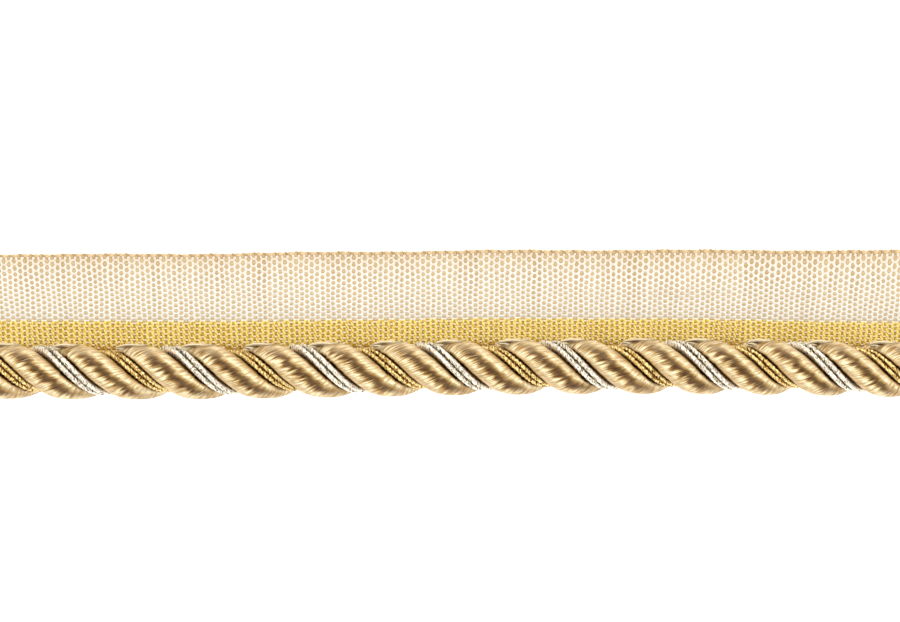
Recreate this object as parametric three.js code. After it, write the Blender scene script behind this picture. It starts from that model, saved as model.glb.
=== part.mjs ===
// Flanged decorative cord, as sold by the length for edging cushions and curtains.
// Two thick satin strands, two silver threads and two gold threads are twisted into a
// rope, and a band of gold binding yarn holds the rope along the edge of a woven tape.
// X runs along the cord, +Y from the rope to the tape's free edge, +Z up from the table.
// The origin is the middle of the underside. Units are millimetres.
import * as THREE from 'three';

// Rope
const ROPE_DIAMETER = 9.5; // over the crests of the satin strands
const LEAD = 21.75; // length in which a strand goes once round
const LEADS = 8; // whole turns in the cut length
const LENGTH = LEAD * LEADS;
const STEPS_PER_LEAD = 12;
const CREST_FLAT = 0.15; // how deep the lowest crests are pressed flat by the table
const CLEAR = 0.3; // gap left between neighbouring pieces

// Satin strands
const SATIN_HALF_WIDTH = 3.05;
const SATIN_SIDES = 14;
const PRESS_STEP = 0.01; // share of its reach by which an outline point is drawn in
const SATIN_APART = 0.6; // between the two ovals; their twisted facets swell into it
const THREAD_ROOM = 0.36; // between a satin strand's outline points and a thin thread
const SATIN_FROM_SILVER = THREE.MathUtils.degToRad(92);

// Thin metallic threads, each kind in a pair that lies side by side
const THREADS = {
  silver: { diameter: 1.2, crest: 3.98, facing: 0, color: 0xdcdad2 },
  gold: { diameter: 1.0, crest: 3.5, facing: Math.PI, color: 0xc99a3c },
};
const THREAD_SIDES = 6;

// Twist as it lies: where a silver pair faces up, and how the lead drifts along the length
const SILVER_UP_AT = 0.43;
const DRIFT = 0.6;
const DRIFT_TOP_AT = -27.7;
const DRIFT_FALL = 0.000218; // for each square millimetre from there

// The whole trimming bows a little across its length, in one wave as long as the cut
const BOW = 0.96;
const BOW_TOP_AT = 30.8;
const EDGE_BOW_SHARE = 0.5; // of the rope's bow, at the middle of the free edge
const EDGE_BOW_FADE = 0.0045; // change of that share for each millimetre to the right
const WEAVE_SLIP = 0.0068; // how far the weave's lines draw in, for each millimetre to the right

// Tape
const TAPE_THICKNESS = 1.0;
const TAPE_REACH = 20.1; // from the rope's axis to the free edge
const SELVEDGE_WIDTH = 1.4;
const SELVEDGE_RISE = 0.3;
const TAPE_STEPS = 48;
const EDGE_WAVE = 0.08;
const EDGE_WAVE_LENGTH = 34;

// Soft ripples where the tape lifts off the table
const RIPPLES = [
  { x: -82, y: 16.0, long: 15, wide: 5.0, rise: 0.55 },
  { x: 40, y: 14.0, long: 12, wide: 4.5, rise: 0.35 },
  { x: 66, y: 15.0, long: 11, wide: 5.0, rise: 0.5 },
];

// Band of binding yarn that lies on the tape's face and runs in under the rope
const BAND_REACH = 8.5; // from the rope's axis
const BAND_THICKNESS = 0.45;

// Sizes that follow
const ROPE_RADIUS = ROPE_DIAMETER / 2;
const AXIS_HEIGHT = ROPE_RADIUS - CREST_FLAT;
const SATIN_HALF_DEPTH = (ROPE_RADIUS - SATIN_APART / 2) / 2;
const SATIN_CENTRE = ROPE_RADIUS - SATIN_HALF_DEPTH;

// Angle of the silver pair round the rope's axis, from straight up towards the tape
function twistAt(x) {
  const drift = DRIFT - DRIFT_FALL * (x - DRIFT_TOP_AT) ** 2;
  return (-2 * Math.PI * (x - SILVER_UP_AT - drift)) / LEAD;
}

// Sideways place of the rope's axis
function bowAt(x) {
  return (-BOW * (1 - Math.cos((2 * Math.PI * (x - BOW_TOP_AT)) / LENGTH))) / 2;
}

// Sideways place of a line of the tape that lies reach from the axis
function tapeLineAt(x, reach) {
  const edgeBow = bowAt(x) * (EDGE_BOW_SHARE - EDGE_BOW_FADE * x);
  const wave = EDGE_WAVE * Math.sin((2 * Math.PI * x) / EDGE_WAVE_LENGTH);
  const bow = THREE.MathUtils.lerp(bowAt(x), edgeBow + wave, reach / TAPE_REACH);
  const inner = tuckedReach(TAPE_THICKNESS);
  const outward = (reach - inner) / (TAPE_REACH - inner);
  return reach + bow - WEAVE_SLIP * x * Math.sin(Math.PI * outward);
}

// Height by which the tape is lifted at a place
function rippleAt(x, reach) {
  return RIPPLES.reduce((lift, ripple) => {
    const along = (x - ripple.x) / ripple.long;
    const across = (reach - ripple.y) / ripple.wide;
    return lift + ripple.rise * Math.exp(-(along * along + across * across) * 2);
  }, 0);
}

// Half sizes of a round thread's oval cut, square to the rope's axis
function threadOval(thread, inset) {
  const centre = thread.crest - thread.diameter / 2;
  const slant = Math.cos(Math.atan((2 * Math.PI * centre) / LEAD));
  const half = thread.diameter / 2 - inset;
  return { centre, radial: half, around: half / slant, pitch: thread.diameter / slant };
}

// Middle of one thread of a pair; side is -1 or 1
function threadMiddle(thread, side) {
  const oval = threadOval(thread, 0);
  const angle = thread.facing + (side * oval.pitch) / 2 / oval.centre;
  return new THREE.Vector2(oval.centre, 0).rotateAround(new THREE.Vector2(), angle);
}

// Outline of one thin thread: flat sides laid round its oval, so that it keeps its bulk
function threadSection(thread, side) {
  const oval = threadOval(thread, CLEAR / 2);
  const middle = threadMiddle(thread, side);
  const corner = 1 / Math.cos(Math.PI / THREAD_SIDES);
  const points = [];
  for (let k = 0; k < THREAD_SIDES; k += 1) {
    const a = (2 * Math.PI * k) / THREAD_SIDES;
    const out = corner * oval.radial * Math.cos(a);
    const across = corner * oval.around * Math.sin(a);
    const point = new THREE.Vector2(out, across);
    points.push(point.rotateAround(new THREE.Vector2(), middle.angle()).add(middle));
  }
  return new THREE.Shape(points);
}

// Whether a point keeps clear of every thin thread
function clearOfThreads(point) {
  return Object.values(THREADS).every((thread) =>
    [-1, 1].every((side) => {
      const oval = threadOval(thread, -THREAD_ROOM);
      const middle = threadMiddle(thread, side);
      const offset = point.clone().sub(middle);
      offset.rotateAround(new THREE.Vector2(), -middle.angle());
      return Math.hypot(offset.x / oval.radial, offset.y / oval.around) > 1;
    }),
  );
}

// Outline of a satin strand: an oval, drawn in where the thin threads press into it
function satinSection(facing) {
  const points = [];
  for (let k = 0; k < SATIN_SIDES; k += 1) {
    const a = (2 * Math.PI * (k + 0.5)) / SATIN_SIDES;
    const out = SATIN_HALF_DEPTH * Math.cos(a);
    const across = SATIN_HALF_WIDTH * Math.sin(a);
    const at = (share) =>
      new THREE.Vector2(SATIN_CENTRE + share * out, share * across).rotateAround(
        new THREE.Vector2(),
        facing,
      );
    let share = 1;
    while (!clearOfThreads(at(share))) share -= PRESS_STEP;
    points.push(at(share));
  }
  return new THREE.Shape(points);
}

// Draws a section out from the right end to the left. The section's first coordinate is up
// and its second is towards the tape; place(x, up, across) gives each point's y and z.
function drawnOut(section, steps, place) {
  const options = { depth: LENGTH, steps, bevelEnabled: false };
  const geometry = new THREE.ExtrudeGeometry(section, options);
  const points = geometry.getAttribute('position');
  for (let i = 0; i < points.count; i += 1) {
    const x = LENGTH / 2 - points.getZ(i);
    const [y, z] = place(x, points.getX(i), points.getY(i));
    points.setXYZ(i, x, y, z);
  }
  geometry.computeVertexNormals();
  return geometry;
}

// A strand of the rope, turned with the twist and pressed flat where it meets the table
function strand(section) {
  return drawnOut(section, LEADS * STEPS_PER_LEAD, (x, up, across) => {
    const turn = twistAt(x);
    const y = bowAt(x) + up * Math.sin(turn) + across * Math.cos(turn);
    const z = AXIS_HEIGHT + up * Math.cos(turn) - across * Math.sin(turn);
    return [y, Math.max(z, 0)];
  });
}

// How near the axis a layer with its top at a height may come without touching the rope
function tuckedReach(top) {
  return Math.sqrt((ROPE_RADIUS + CLEAR) ** 2 - (AXIS_HEIGHT - top) ** 2);
}

// A flat layer of the flange, laid along the rope with its ripples
function layer(outline) {
  return drawnOut(new THREE.Shape(outline), TAPE_STEPS, (x, height, reach) => [
    tapeLineAt(x, reach),
    height + rippleAt(x, reach),
  ]);
}

// Woven tape: flat, with a fuller rounded selvedge at the free edge
function tape() {
  const inner = tuckedReach(TAPE_THICKNESS);
  const bead = TAPE_REACH - SELVEDGE_WIDTH;
  const full = TAPE_THICKNESS + SELVEDGE_RISE;
  const flat = [inner, 10.6, 12.6, 14.6, 16.6, bead - 0.5];
  const underside = [...flat, TAPE_REACH - 0.3].map((y) => new THREE.Vector2(0, y));
  const face = flat.map((y) => new THREE.Vector2(TAPE_THICKNESS, y)).reverse();
  const edge = [
    new THREE.Vector2(0.3, TAPE_REACH),
    new THREE.Vector2(full - 0.4, TAPE_REACH),
    new THREE.Vector2(full, TAPE_REACH - 0.4),
    new THREE.Vector2(full, bead),
  ];
  return layer([...underside, ...edge, ...face]);
}

// Binding yarn, taken as one thin layer on the tape
function bindingBand() {
  const low = TAPE_THICKNESS + CLEAR;
  const high = low + BAND_THICKNESS;
  const inner = tuckedReach(high);
  return layer([
    new THREE.Vector2(low, inner),
    new THREE.Vector2(low, BAND_REACH),
    new THREE.Vector2(high - 0.15, BAND_REACH),
    new THREE.Vector2(high, BAND_REACH - 0.2),
    new THREE.Vector2(high, inner),
  ]);
}

function piece(name, geometry, color, roughness, metalness) {
  const material = new THREE.MeshStandardMaterial({ color, roughness, metalness });
  const mesh = new THREE.Mesh(geometry, material);
  mesh.name = name;
  return mesh;
}

const rope = new THREE.Group();
const satin = { satin_a: SATIN_FROM_SILVER, satin_b: -SATIN_FROM_SILVER };
for (const [name, facing] of Object.entries(satin)) {
  rope.add(piece(name, strand(satinSection(facing)), 0xcbaa72, 0.35, 0));
}
for (const [kind, thread] of Object.entries(THREADS)) {
  rope.add(piece(`${kind}_a`, strand(threadSection(thread, -1)), thread.color, 0.3, 0.8));
  rope.add(piece(`${kind}_b`, strand(threadSection(thread, 1)), thread.color, 0.3, 0.8));
}

const flange = new THREE.Group();
flange.add(piece('tape', tape(), 0xf0e3cb, 0.85, 0));
flange.add(piece('binding', bindingBand(), 0xe0c15c, 0.5, 0));

// The middle of the box goes to the origin
const cord = new THREE.Group();
cord.add(rope, flange);
const box = new THREE.Box3().setFromObject(cord);
cord.position.y = -(box.min.y + box.max.y) / 2;

export default cord;
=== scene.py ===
"""Dresses a flanged decorative cord: a twisted rope bound along the edge of a woven tape.

Sizes are in millimetres, in the frame of the solids before they were centred, and
become metres when a mesh is written. X runs along the cord, reach is the distance from
the rope's axis towards the tape's free edge, and Z is up from the surface.
"""

from __future__ import annotations

import logging
import math
import random
from dataclasses import dataclass, field
from enum import Enum
from typing import Callable

import bmesh
import bpy
import numpy as np
from bpy.types import ID, Material, Mesh, Node, NodeSocket, NodeTree, Object
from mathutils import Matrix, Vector

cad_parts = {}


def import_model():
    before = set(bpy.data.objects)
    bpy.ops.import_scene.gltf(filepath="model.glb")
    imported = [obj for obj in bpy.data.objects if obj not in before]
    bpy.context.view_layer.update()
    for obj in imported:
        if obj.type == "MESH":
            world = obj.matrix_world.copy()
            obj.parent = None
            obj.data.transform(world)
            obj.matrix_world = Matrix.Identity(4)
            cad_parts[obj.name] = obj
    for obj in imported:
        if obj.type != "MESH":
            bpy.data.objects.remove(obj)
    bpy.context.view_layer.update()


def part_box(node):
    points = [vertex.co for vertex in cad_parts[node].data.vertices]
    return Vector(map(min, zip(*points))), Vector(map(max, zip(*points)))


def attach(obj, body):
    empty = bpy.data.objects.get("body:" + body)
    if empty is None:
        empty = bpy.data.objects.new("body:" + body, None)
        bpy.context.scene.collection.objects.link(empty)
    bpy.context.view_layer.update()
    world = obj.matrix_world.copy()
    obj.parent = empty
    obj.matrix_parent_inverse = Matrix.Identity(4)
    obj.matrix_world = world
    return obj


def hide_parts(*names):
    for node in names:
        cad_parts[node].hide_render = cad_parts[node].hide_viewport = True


LOG = logging.getLogger("cord")
MM = 0.001
TAU = 2 * math.pi
ROW_SPACING = 4.0
MERGE = 0.01
CAP_INSET = 0.9
NEARLY_ROUND = 0.9999
UV_RUN = "Run"
BODY = "root"

Array = np.ndarray
Tone = tuple[float, float, float]
Span = tuple[float, float]
Placing = tuple[Array, Array, dict[str, Array]]
Place = Callable[[Array, Array, Array, Array], Placing]


class Slot(Enum):
    """The record's material slots."""

    SATIN = "satin_floss"
    SILVER = "silver_thread"
    GOLD = "gold_thread"
    TAPE = "tape_weave"
    BINDING = "binding_yarn"


# How the trimming lies


@dataclass(frozen=True)
class Ripple:
    """A soft place where the tape lifts off the surface."""

    x: float
    reach: float
    long: float
    wide: float
    rise: float

    def at(self, x: Array, reach: Array) -> Array:
        """Measures how far the tape is lifted.

        Args:
            x: places along the cord.
            reach: distances from the rope's axis.

        Returns:
            The lift at each place.
        """
        along = (x - self.x) / self.long
        across = (reach - self.reach) / self.wide
        return self.rise * np.exp(-2 * (along**2 + across**2))


@dataclass(frozen=True)
class Wander:
    """A small wave in the yarns' places, with its lengths along and across the tape."""

    depth: float
    long: float
    wide: float

    def at(self, x: Array, reach: Array) -> Array:
        """Gives how far the yarns are off at each place."""
        return self.depth * np.sin(TAU * (x / self.long + reach / self.wide))


@dataclass(frozen=True)
class Lay:
    """The rope's twist, the bow of the whole trimming and the tape's ripples."""

    rope_radius: float = 4.75
    lead: float = 21.75
    leads: int = 8
    crest_flat: float = 0.15
    clear: float = 0.3
    silver_up_at: float = 0.43
    drift: float = 0.6
    drift_top_at: float = -27.7
    drift_fall: float = 0.000218
    bow_depth: float = 0.96
    bow_top_at: float = 30.8
    edge_bow_share: float = 0.5
    edge_bow_fade: float = 0.0045
    weave_slip: float = 0.0068
    tape_reach: float = 20.1
    tape_thickness: float = 1.0
    tape_steps: int = 48
    edge_wave: float = 0.08
    edge_wave_length: float = 34.0
    ripples: tuple[Ripple, ...] = (
        Ripple(-82, 16.0, 15, 5.0, 0.55),
        Ripple(40, 14.0, 12, 4.5, 0.35),
        Ripple(66, 15.0, 11, 5.0, 0.5),
    )
    wander_along: tuple[Wander, ...] = (Wander(0.055, 11.3, 8.1), Wander(0.04, 4.7, -5.9))
    wander_across: tuple[Wander, ...] = (Wander(0.05, 7.9, 13.0), Wander(0.03, 3.7, -4.3))
    centre_y: float = 0.0

    @property
    def length(self) -> float:
        """Length of the cut."""
        return self.lead * self.leads

    @property
    def axis_height(self) -> float:
        """Height of the rope's axis."""
        return self.rope_radius - self.crest_flat

    @property
    def inner_reach(self) -> float:
        """How near the axis the tape comes under the rope."""
        drop = self.axis_height - self.tape_thickness
        return math.sqrt((self.rope_radius + self.clear) ** 2 - drop**2)

    def along(self, share: Array) -> Array:
        """Place along the cord at a share of its length."""
        return self.length * (share - 0.5)

    def twist(self, x: Array) -> Array:
        """Angle of the silver pair from straight up towards the tape."""
        drift = self.drift - self.drift_fall * (x - self.drift_top_at) ** 2
        return -TAU * (x - self.silver_up_at - drift) / self.lead

    def bow(self, x: Array) -> Array:
        """Sideways place of the rope's axis."""
        return -self.bow_depth * (1 - np.cos(TAU * (x - self.bow_top_at) / self.length)) / 2

    def line(self, x: Array, reach: Array) -> Array:
        """Follows one of the tape's lines.

        Args:
            x: places along the cord.
            reach: how far the line lies from the rope's axis.

        Returns:
            Its sideways places.
        """
        edge = self.bow(x) * (self.edge_bow_share - self.edge_bow_fade * x)
        edge = edge + self.edge_wave * np.sin(TAU * x / self.edge_wave_length)
        share = reach / self.tape_reach
        outward = (reach - self.inner_reach) / (self.tape_reach - self.inner_reach)
        slip = self.weave_slip * x * np.sin(math.pi * outward)
        return reach + self.bow(x) * (1 - share) + edge * share - slip

    def on_rope(self, x: Array, facing: float, out: Array, across: Array) -> Array:
        """Turns a section's points with the twist.

        Args:
            x: places along the cord.
            facing: angle of the section from the silver pair.
            out: distances from the axis, along the section's own direction.
            across: distances square to that.

        Returns:
            Points, one row each.
        """
        turn = self.twist(x) + facing
        y = self.bow(x) + out * np.sin(turn) + across * np.cos(turn) - self.centre_y
        z = self.axis_height + out * np.cos(turn) - across * np.sin(turn)
        return np.stack([x, y, np.maximum(z, 0.0)], axis=1)

    def on_tape(self, x: Array, reach: Array, height: Array) -> Array:
        """Lays points on the tape with its bow and ripples.

        Args:
            x: places along the cord.
            reach: distances from the rope's axis.
            height: heights above the surface where the tape lies flat.

        Returns:
            Points, one row each.
        """
        along = sum(wave.at(x, reach) for wave in self.wander_along)
        across = sum(wave.at(x, reach) for wave in self.wander_across)
        x = np.clip(x + along, -self.length / 2, self.length / 2)
        y = self.line(x, reach) + across - self.centre_y
        lift = sum(ripple.at(x, reach) for ripple in self.ripples)
        return np.stack([x, y, height + lift], axis=1)


def lay_in_frame() -> Lay:
    """Works out the trimming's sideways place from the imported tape's box.

    Returns:
        The lay, with the y that the solids were centred by.
    """
    lay = Lay()
    x = np.linspace(-lay.length / 2, lay.length / 2, lay.tape_steps + 1)
    edge = lay.line(x, np.full_like(x, lay.tape_reach)).max()
    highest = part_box("tape")[1][1] / MM
    return Lay(centre_y=edge - highest)


# Objects and tubes


def new_object(name: str, data: ID) -> Object:
    """Makes an object and adds it to the scene.

    Args:
        name: its name.
        data: its mesh, camera or light.

    Returns:
        The object.
    """
    made = bpy.data.objects.new(name, data)
    bpy.context.scene.collection.objects.link(made)
    return made


def straight_tube(rings: int, sides: int, cap_insets: int = 0) -> Mesh:
    """Makes a closed straight tube from a grid that is wrapped round X.

    Args:
        rings: steps along X, each one unit long.
        sides: steps round the unit circle.
        cap_insets: rings of faces inside each end cap.

    Returns:
        The mesh. Its end caps have material index 1.
    """
    bm = bmesh.new()
    bm.loops.layers.uv.new(UV_RUN)
    bmesh.ops.create_grid(bm, x_segments=rings, y_segments=sides, size=0.5, calc_uvs=True)
    for vert in bm.verts:
        angle = TAU * (vert.co.y + 0.5)
        vert.co = Vector(((vert.co.x + 0.5) * rings, math.cos(angle), math.sin(angle)))
    bmesh.ops.remove_doubles(bm, verts=bm.verts, dist=MERGE)
    for end in (0, rings):
        rim = [e for e in bm.edges if e.is_boundary and abs(e.verts[0].co.x - end) < 0.5]
        face = bmesh.ops.contextual_create(bm, geom=rim)["faces"][0]
        face.material_index = 1
        for _ in range(cap_insets):
            step = CAP_INSET / (cap_insets + 1)
            bmesh.ops.inset_individual(bm, faces=[face], thickness=step)
    bmesh.ops.recalc_face_normals(bm, faces=bm.faces)
    mesh = bpy.data.meshes.new("tube")
    bm.to_mesh(mesh)
    bm.free()
    return mesh


def in_rows(mesh: Mesh, count: int) -> Mesh:
    """Repeats a mesh in rows along Y, a row spacing apart.

    Args:
        mesh: what is repeated.
        count: number of rows.

    Returns:
        One mesh that holds all the rows.
    """
    holder = new_object("rows", mesh)
    rows = holder.modifiers.new("rows", "ARRAY")
    rows.count = count
    rows.use_relative_offset = False
    rows.use_constant_offset = True
    rows.constant_offset_displace = (0, ROW_SPACING, 0)
    graph = bpy.context.evaluated_depsgraph_get()
    repeated = bpy.data.meshes.new_from_object(holder.evaluated_get(graph))
    bpy.data.objects.remove(holder)
    return repeated


def placed(name: str, mesh: Mesh, place: Place) -> Object:
    """Moves every point of straight tubes to its place and sets its maps.

    Args:
        name: the new object's name.
        mesh: straight tubes in rows.
        place: takes each point's row, ring, turn and share of the radius, and gives
            the points and their places on the run map, both in millimetres, and the
            numbers that the materials read, by attribute.

    Returns:
        The object, with its place in its mesh.
    """
    co = np.empty(len(mesh.vertices) * 3)
    mesh.vertices.foreach_get("co", co)
    co = co.reshape(-1, 3)
    row = np.round(co[:, 1] / ROW_SPACING)
    side = co[:, 1] - row * ROW_SPACING
    share = np.minimum(np.hypot(side, co[:, 2]), 1.0)
    turn = (np.arctan2(co[:, 2], side) / TAU) % 1.0
    turn[turn > NEARLY_ROUND] = 0.0
    points, run, numbers = place(row, co[:, 0], turn, share)
    mesh.vertices.foreach_set("co", (points * MM).ravel())
    write_run_map(mesh, run, turn)
    for attribute, values in numbers.items():
        layer = mesh.attributes.new(attribute, "FLOAT", "POINT")
        layer.data.foreach_set("value", values.astype(np.float32))
    mesh.polygons.foreach_set("use_smooth", [True] * len(mesh.polygons))
    mesh.update()
    return new_object(name, mesh)


def write_run_map(mesh: Mesh, run: Array, turn: Array) -> None:
    """Writes each corner's place on the run map, past the seam where a face crosses it.

    Args:
        mesh: tubes whose run map held grid coordinates.
        run: for each point, along and round, and what both grow by in one way round.
        turn: for each point, its share of the way round.
    """
    corner = np.empty(len(mesh.loops), dtype=np.int64)
    mesh.loops.foreach_get("vertex_index", corner)
    layer = mesh.uv_layers[UV_RUN].uv
    grid = np.empty(len(mesh.loops) * 2, dtype=np.float32)
    layer.foreach_get("vector", grid)
    past = (grid.reshape(-1, 2)[:, 1] > 0.75) & (turn[corner] < 0.25)
    uv = run[corner, :2] + past[:, None] * run[corner, 2:]
    layer.foreach_set("vector", uv.astype(np.float32).ravel())


def run_of(along: Array, turn: Array, girth: float = 1.0) -> Array:
    """Gives a plain run map: along the yarn, and round it in shares of the girth."""
    zero = np.zeros_like(along)
    return np.stack([along, turn * girth, zero, zero + girth], axis=1)


def draws(draw: random.Random, span: Span, count: int) -> Array:
    """Draws one number for each row, evenly between two."""
    return np.array([draw.uniform(*span) for _ in range(count)])


def eased(share: Array) -> Array:
    """Gives a share between nought and one with a soft start and end."""
    share = np.clip(share, 0, 1)
    return share * share * (3 - 2 * share)


def dress(piece: Object, slot: Slot, nodes: list[str], *finishes: Material) -> Object:
    """Gives a piece its materials and ties it to the frame.

    Args:
        piece: the object.
        slot: the record's slot; not used.
        nodes: the solids that it stands for.
        finishes: its materials in order.

    Returns:
        The same object.
    """
    for finish in finishes:
        piece.data.materials.append(finish)
    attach(piece, BODY)
    if nodes:
        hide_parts(*nodes)
    LOG.info("%s: %d faces", piece.name, len(piece.data.polygons))
    return piece


# Materials


@dataclass
class Nodes:
    """A short way to add and link nodes in one tree."""

    tree: NodeTree

    def add(self, kind: str, _set: dict | None = None, **inputs: object) -> Node:
        """Adds a node.

        Args:
            kind: the node's type.
            _set: its own settings.
            inputs: values or sockets for its inputs, by name with _ for a space, or
                by number as i0, i1 and so on.

        Returns:
            The node.
        """
        node = self.tree.nodes.new(kind)
        for key, value in (_set or {}).items():
            setattr(node, key, value)
        for key, value in inputs.items():
            numbered = key[1:].isdigit() and key[0] == "i"
            socket = node.inputs[int(key[1:]) if numbered else key.replace("_", " ")]
            if isinstance(value, NodeSocket):
                self.tree.links.new(value, socket)
            else:
                socket.default_value = value
        return node

    def maths(self, operation: str, a: object, b: object = 0.0) -> NodeSocket:
        """Gives two numbers or sockets joined by the named operation."""
        return self.add("ShaderNodeMath", {"operation": operation}, i0=a, i1=b).outputs[0]

    def attribute(self, name: str) -> NodeSocket:
        """Reads a number that every point of the piece has."""
        return self.add("ShaderNodeAttribute", {"attribute_name": name}).outputs["Fac"]

    def run_vector(self) -> NodeSocket:
        """Reads the run map, in millimetres along and round."""
        return self.add("ShaderNodeUVMap", {"uv_map": UV_RUN}).outputs[0]

    def noise(self, vector: object, scale: float, detail: float = 2.0) -> NodeSocket:
        """Gives a soft noise over a vector."""
        node = self.add("ShaderNodeTexNoise", Vector=vector, Scale=scale, Detail=detail)
        return node.outputs["Fac"]

    def stretched(self, vector: object, scale: tuple[float, float, float]) -> object:
        """Gives a vector scaled by a different amount each way."""
        node = self.add("ShaderNodeVectorMath", {"operation": "MULTIPLY"}, i0=vector, i1=scale)
        return node.outputs[0]

    def spread(self, value: object, low: float, high: float) -> NodeSocket:
        """Gives 0 under low, 1 over high and a smooth step between."""
        kind = {"interpolation_type": "SMOOTHSTEP"}
        return self.add("ShaderNodeMapRange", kind, i0=value, i1=low, i2=high).outputs[0]

    def at_least(self, share: object, least: float) -> NodeSocket:
        """Squeezes a share from nought to one between least and one."""
        return self.maths("ADD", self.maths("MULTIPLY", share, 1 - least), least)

    def ramp(self, value: object, stops: tuple[tuple[float, Tone], ...]) -> object:
        """Gives a colour from a short row of tones.

        Args:
            value: where on the row.
            stops: the place and tone of each stop.

        Returns:
            The colour socket.
        """
        node = self.add("ShaderNodeValToRGB", i0=value)
        ramp = node.color_ramp
        ramp.interpolation = "EASE"
        while len(ramp.elements) < len(stops):
            ramp.elements.new(0.5)
        for element, (at, tone) in zip(ramp.elements, stops):
            element.position = at
            element.color = (*tone, 1.0)
        return node.outputs[0]

    def mix(self, share: object, a: object, b: object, blend: str = "MIX") -> object:
        """Gives two colours mixed by a share.

        Args:
            share: how much of the second one.
            a: the first colour.
            b: the second colour.
            blend: how they mix.

        Returns:
            The colour socket.
        """
        node = self.add("ShaderNodeMix", {"data_type": "RGBA", "blend_type": blend})
        for index, value in ((0, share), (6, a), (7, b)):
            if isinstance(value, NodeSocket):
                self.tree.links.new(value, node.inputs[index])
            else:
                value = (*value, 1.0) if isinstance(value, tuple) else value
                node.inputs[index].default_value = value
        return node.outputs[2]


def tone(red: int, green: int, blue: int) -> Tone:
    """Turns a screen colour into linear light."""
    shares = (c / 255 for c in (red, green, blue))
    return tuple(s / 12.92 if s < 0.04045 else ((s + 0.055) / 1.055) ** 2.4 for s in shares)


def new_group(name: str, inputs: tuple, outputs: tuple) -> tuple[Nodes, object, object]:
    """Starts a shader group.

    Args:
        name: the group's name.
        inputs: names of its number inputs. Each group also reads a run vector.
        outputs: names of its number outputs.

    Returns:
        The group's nodes, its input node and its output node.
    """
    tree = bpy.data.node_groups.new(name, "ShaderNodeTree")
    tree.interface.new_socket("Run", in_out="INPUT", socket_type="NodeSocketVector")
    for way, sockets in (("INPUT", inputs), ("OUTPUT", outputs)):
        for socket in sockets:
            tree.interface.new_socket(socket, in_out=way, socket_type="NodeSocketFloat")
    nodes = Nodes(tree)
    return nodes, nodes.add("NodeGroupInput"), nodes.add("NodeGroupOutput")


def filament_group() -> NodeTree:
    """Makes the group that combs fine filaments across a strand.

    Returns:
        A group that takes a run vector in millimetres and gives three sizes of streaks.
    """
    streaks = {"Fine": (4.6, 0.2, 1), "Broad": (0.8, 0.12, 1), "Tuft": (2.4, 0.16, 1)}
    nodes, come, go = new_group("Filaments", (), tuple(streaks))
    for socket, scale in streaks.items():
        value = nodes.noise(nodes.stretched(come.outputs["Run"], scale), 1.0)
        nodes.tree.links.new(value, go.inputs[socket])
    return nodes.tree


def yarn_group() -> NodeTree:
    """Makes the group that draws the fine plies of a spun yarn, once for all yarns.

    Returns:
        A group that takes a run vector and lines per millimetre, and gives a height.
    """
    name = "Spun yarn"
    wander_scale = 3.0
    if name in bpy.data.node_groups:
        return bpy.data.node_groups[name]
    nodes, come, go = new_group(name, ("Along", "Round"), ("Height",))
    split = nodes.add("ShaderNodeSeparateXYZ", i0=come.outputs["Run"])
    along = nodes.maths("MULTIPLY", split.outputs[0], come.outputs["Along"])
    across = nodes.maths("MULTIPLY", split.outputs[1], come.outputs["Round"])
    wander = nodes.noise(come.outputs["Run"], wander_scale)
    phase = nodes.maths("ADD", nodes.maths("ADD", along, across), wander)
    wave = nodes.maths("SINE", nodes.maths("MULTIPLY", phase, TAU))
    nodes.tree.links.new(nodes.maths("MULTIPLY_ADD", wave, 0.5), go.inputs["Height"])
    return nodes.tree


def new_material(name: str) -> tuple[Material, Nodes, Node]:
    """Starts a material.

    Args:
        name: its name.

    Returns:
        The material, its nodes and its shader.
    """
    material = bpy.data.materials.new(name)
    material.use_nodes = True
    material.node_tree.nodes.clear()
    nodes = Nodes(material.node_tree)
    shader = nodes.add("ShaderNodeBsdfPrincipled")
    nodes.add("ShaderNodeOutputMaterial", Surface=shader.outputs[0])
    return material, nodes, shader


def set_inputs(node: Node, **values: object) -> None:
    """Sets a node's own values, by input name with _ for a space."""
    for name, value in values.items():
        node.inputs[name.replace("_", " ")].default_value = value


def set_bump(nodes: Nodes, shader: Node, height: object, depth: float) -> None:
    """Links a height, in shares of a depth in millimetres, to the shader's normal."""
    bump = nodes.add("ShaderNodeBump", Height=height, Distance=depth * MM, Strength=1.0)
    nodes.tree.links.new(bump.outputs[0], shader.inputs["Normal"])


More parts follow.
